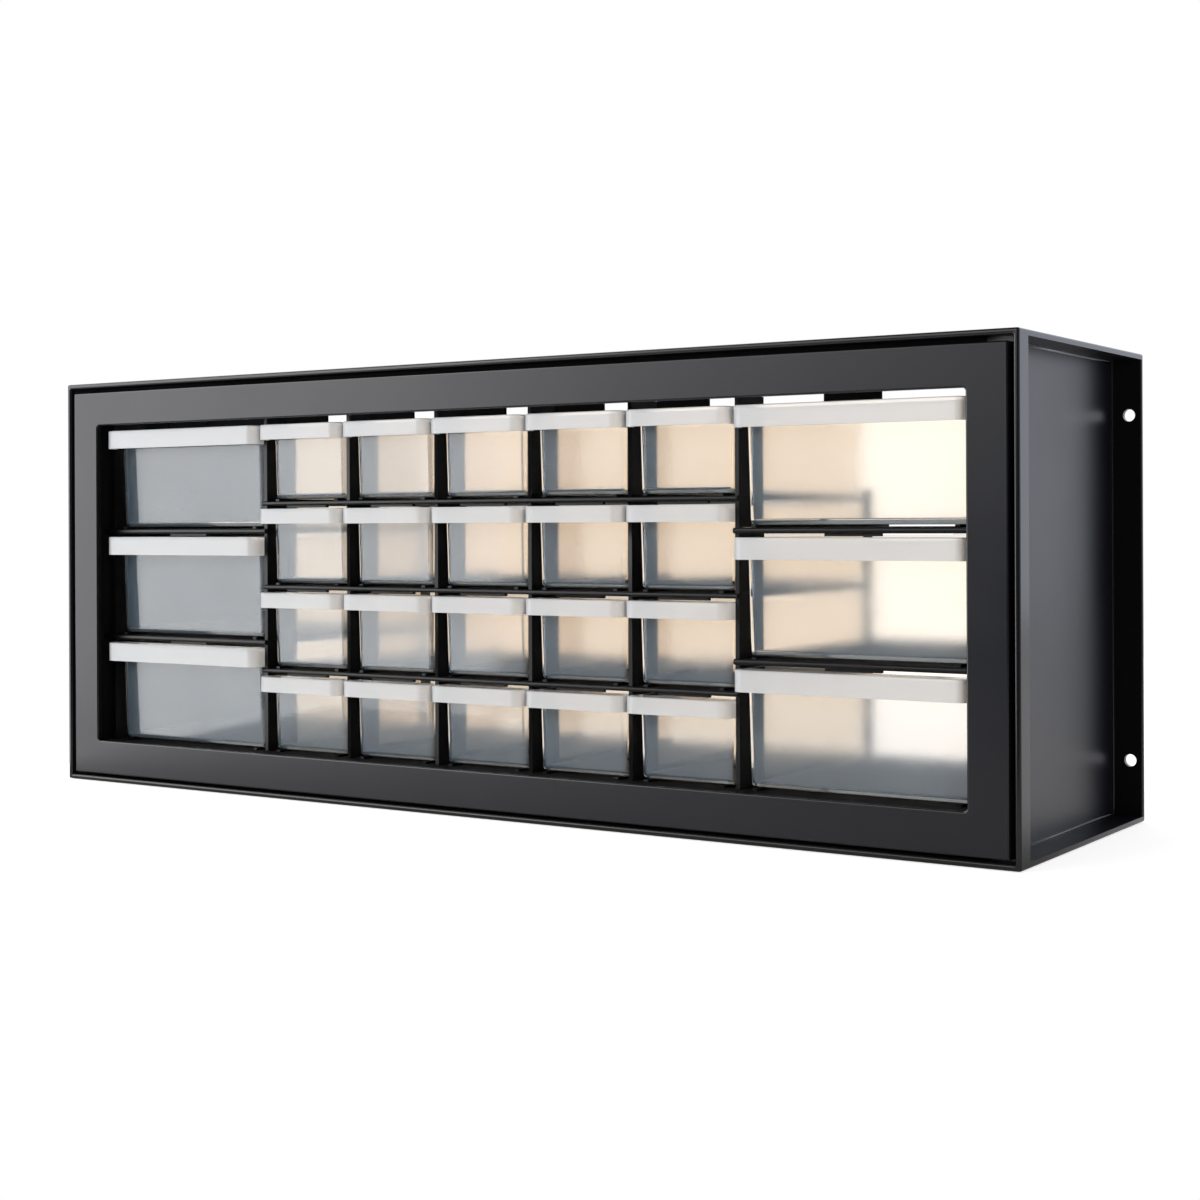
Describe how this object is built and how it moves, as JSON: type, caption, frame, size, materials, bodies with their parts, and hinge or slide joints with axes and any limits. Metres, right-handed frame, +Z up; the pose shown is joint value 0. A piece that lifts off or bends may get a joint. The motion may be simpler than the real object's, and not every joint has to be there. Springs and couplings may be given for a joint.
{
  "type": "drawer parts organizer",
  "caption": "Open-backed black plastic parts cabinet: a framed grid of small and large translucent pull-out drawers, with recessed sides and rear screw holes.",
  "frame": {"origin": "centre of the case's underside", "axes": "+X to the right seen from the front, +Y to the back, +Z up; drawers open towards -Y"},
  "size_m": [0.5, 0.142, 0.197],
  "materials": {
    "case_plastic": "satin black moulded polypropylene, fine spark texture",
    "rack_plastic": "smooth black moulded polystyrene",
    "drawer_plastic": "milky translucent moulded polypropylene"
  },
  "bodies": {
    "cabinet": {"case_top_panel": "case_plastic", "case_bottom_panel": "case_plastic", "case_left_side": "case_plastic", "case_right_side": "case_plastic", "front_bezel": "case_plastic", "floor_deck": "rack_plastic", "left_post": "rack_plastic", "right_post": "rack_plastic", "left_rear_post": "rack_plastic", "right_rear_post": "rack_plastic", "left_shelf_1": "rack_plastic", "left_shelf_2": "rack_plastic", "right_shelf_1": "rack_plastic", "right_shelf_2": "rack_plastic", "centre_shelf_1": "rack_plastic", "centre_shelf_2": "rack_plastic", "centre_shelf_3": "rack_plastic"},
    "left_drawer_1": {"left_drawer_1": "drawer_plastic"},
    "right_drawer_1": {"right_drawer_1": "drawer_plastic"},
    "left_drawer_2": {"left_drawer_2": "drawer_plastic"},
    "right_drawer_2": {"right_drawer_2": "drawer_plastic"},
    "left_drawer_3": {"left_drawer_3": "drawer_plastic"},
    "right_drawer_3": {"right_drawer_3": "drawer_plastic"},
    "small_drawer_1_1": {"small_drawer_1_1": "drawer_plastic"},
    "small_drawer_1_2": {"small_drawer_1_2": "drawer_plastic"},
    "small_drawer_1_3": {"small_drawer_1_3": "drawer_plastic"},
    "small_drawer_1_4": {"small_drawer_1_4": "drawer_plastic"},
    "small_drawer_1_5": {"small_drawer_1_5": "drawer_plastic"},
    "small_drawer_2_1": {"small_drawer_2_1": "drawer_plastic"},
    "small_drawer_2_2": {"small_drawer_2_2": "drawer_plastic"},
    "small_drawer_2_3": {"small_drawer_2_3": "drawer_plastic"},
    "small_drawer_2_4": {"small_drawer_2_4": "drawer_plastic"},
    "small_drawer_2_5": {"small_drawer_2_5": "drawer_plastic"},
    "small_drawer_3_1": {"small_drawer_3_1": "drawer_plastic"},
    "small_drawer_3_2": {"small_drawer_3_2": "drawer_plastic"},
    "small_drawer_3_3": {"small_drawer_3_3": "drawer_plastic"},
    "small_drawer_3_4": {"small_drawer_3_4": "drawer_plastic"},
    "small_drawer_3_5": {"small_drawer_3_5": "drawer_plastic"},
    "small_drawer_4_1": {"small_drawer_4_1": "drawer_plastic"},
    "small_drawer_4_2": {"small_drawer_4_2": "drawer_plastic"},
    "small_drawer_4_3": {"small_drawer_4_3": "drawer_plastic"},
    "small_drawer_4_4": {"small_drawer_4_4": "drawer_plastic"},
    "small_drawer_4_5": {"small_drawer_4_5": "drawer_plastic"}
  },
  "joints": [
    {"name": "left_drawer_1_slide", "type": "slide", "parent": "cabinet", "child": "left_drawer_1", "axis": [0, -1, 0], "range_m": [0, 0.1215]},
    {"name": "right_drawer_1_slide", "type": "slide", "parent": "cabinet", "child": "right_drawer_1", "axis": [0, -1, 0], "range_m": [0, 0.1215]},
    {"name": "left_drawer_2_slide", "type": "slide", "parent": "cabinet", "child": "left_drawer_2", "axis": [0, -1, 0], "range_m": [0, 0.1215]},
    {"name": "right_drawer_2_slide", "type": "slide", "parent": "cabinet", "child": "right_drawer_2", "axis": [0, -1, 0], "range_m": [0, 0.1215]},
    {"name": "left_drawer_3_slide", "type": "slide", "parent": "cabinet", "child": "left_drawer_3", "axis": [0, -1, 0], "range_m": [0, 0.1215]},
    {"name": "right_drawer_3_slide", "type": "slide", "parent": "cabinet", "child": "right_drawer_3", "axis": [0, -1, 0], "range_m": [0, 0.1215]},
    {"name": "small_drawer_1_1_slide", "type": "slide", "parent": "cabinet", "child": "small_drawer_1_1", "axis": [0, -1, 0], "range_m": [0, 0.1215]},
    {"name": "small_drawer_1_2_slide", "type": "slide", "parent": "cabinet", "child": "small_drawer_1_2", "axis": [0, -1, 0], "range_m": [0, 0.1215]},
    {"name": "small_drawer_1_3_slide", "type": "slide", "parent": "cabinet", "child": "small_drawer_1_3", "axis": [0, -1, 0], "range_m": [0, 0.1215]},
    {"name": "small_drawer_1_4_slide", "type": "slide", "parent": "cabinet", "child": "small_drawer_1_4", "axis": [0, -1, 0], "range_m": [0, 0.1215]},
    {"name": "small_drawer_1_5_slide", "type": "slide", "parent": "cabinet", "child": "small_drawer_1_5", "axis": [0, -1, 0], "range_m": [0, 0.1215]},
    {"name": "small_drawer_2_1_slide", "type": "slide", "parent": "cabinet", "child": "small_drawer_2_1", "axis": [0, -1, 0], "range_m": [0, 0.1215]},
    {"name": "small_drawer_2_2_slide", "type": "slide", "parent": "cabinet", "child": "small_drawer_2_2", "axis": [0, -1, 0], "range_m": [0, 0.1215]},
    {"name": "small_drawer_2_3_slide", "type": "slide", "parent": "cabinet", "child": "small_drawer_2_3", "axis": [0, -1, 0], "range_m": [0, 0.1215]},
    {"name": "small_drawer_2_4_slide", "type": "slide", "parent": "cabinet", "child": "small_drawer_2_4", "axis": [0, -1, 0], "range_m": [0, 0.1215]},
    {"name": "small_drawer_2_5_slide", "type": "slide", "parent": "cabinet", "child": "small_drawer_2_5", "axis": [0, -1, 0], "range_m": [0, 0.1215]},
    {"name": "small_drawer_3_1_slide", "type": "slide", "parent": "cabinet", "child": "small_drawer_3_1", "axis": [0, -1, 0], "range_m": [0, 0.1215]},
    {"name": "small_drawer_3_2_slide", "type": "slide", "parent": "cabinet", "child": "small_drawer_3_2", "axis": [0, -1, 0], "range_m": [0, 0.1215]},
    {"name": "small_drawer_3_3_slide", "type": "slide", "parent": "cabinet", "child": "small_drawer_3_3", "axis": [0, -1, 0], "range_m": [0, 0.1215]},
    {"name": "small_drawer_3_4_slide", "type": "slide", "parent": "cabinet", "child": "small_drawer_3_4", "axis": [0, -1, 0], "range_m": [0, 0.1215]},
    {"name": "small_drawer_3_5_slide", "type": "slide", "parent": "cabinet", "child": "small_drawer_3_5", "axis": [0, -1, 0], "range_m": [0, 0.1215]},
    {"name": "small_drawer_4_1_slide", "type": "slide", "parent": "cabinet", "child": "small_drawer_4_1", "axis": [0, -1, 0], "range_m": [0, 0.1215]},
    {"name": "small_drawer_4_2_slide", "type": "slide", "parent": "cabinet", "child": "small_drawer_4_2", "axis": [0, -1, 0], "range_m": [0, 0.1215]},
    {"name": "small_drawer_4_3_slide", "type": "slide", "parent": "cabinet", "child": "small_drawer_4_3", "axis": [0, -1, 0], "range_m": [0, 0.1215]},
    {"name": "small_drawer_4_4_slide", "type": "slide", "parent": "cabinet", "child": "small_drawer_4_4", "axis": [0, -1, 0], "range_m": [0, 0.1215]},
    {"name": "small_drawer_4_5_slide", "type": "slide", "parent": "cabinet", "child": "small_drawer_4_5", "axis": [0, -1, 0], "range_m": [0, 0.1215]}
  ]
}
